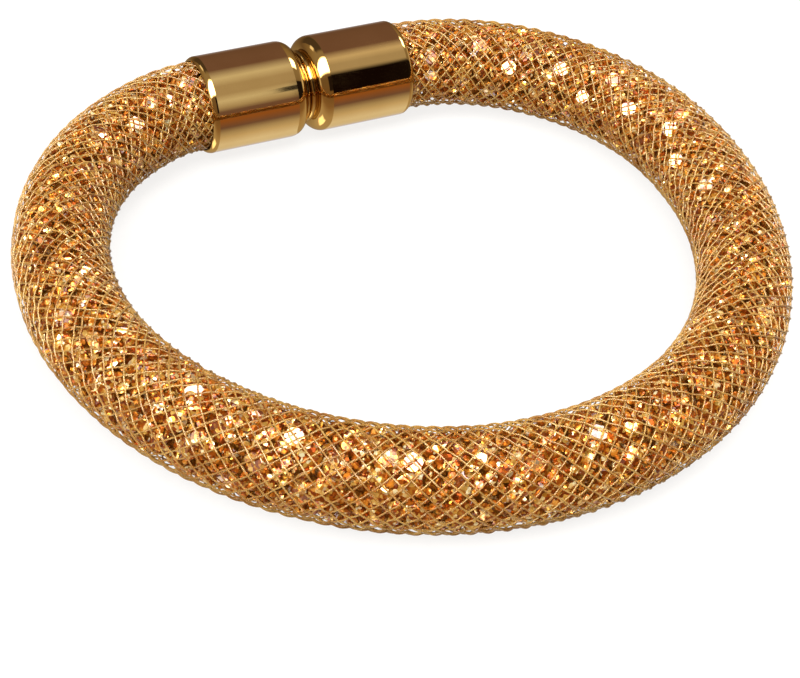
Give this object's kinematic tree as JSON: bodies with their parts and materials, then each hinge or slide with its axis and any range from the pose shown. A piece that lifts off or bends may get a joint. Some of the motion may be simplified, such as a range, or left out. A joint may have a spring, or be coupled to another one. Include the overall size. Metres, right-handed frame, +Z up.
{
  "type": "crystal bracelet",
  "caption": "Soft net tube bracelet filled with loose amber cut stones, closed by a round polished gold clasp in two halves.",
  "frame": {"origin": "bottom centre of the whole bracelet, on the surface it lies on", "axes": "+Z up, square to the loop; +X along the clasp from its left half to its right half; the clasp is at the back, at +Y"},
  "size_m": [0.0706, 0.0648, 0.0095],
  "materials": {
    "net": "clear amber nylon strand, glossy",
    "crystal": "cut and polished, foiled back",
    "gold": "polished gold plate",
    "magnet": "plain nickel plate"
  },
  "bodies": {
    "root": {"net_sleeve": "net", "crystals": "crystal", "clasp_half_left": "gold", "clasp_half_right": "gold", "clasp_core": "magnet"}
  },
  "joints": []
}
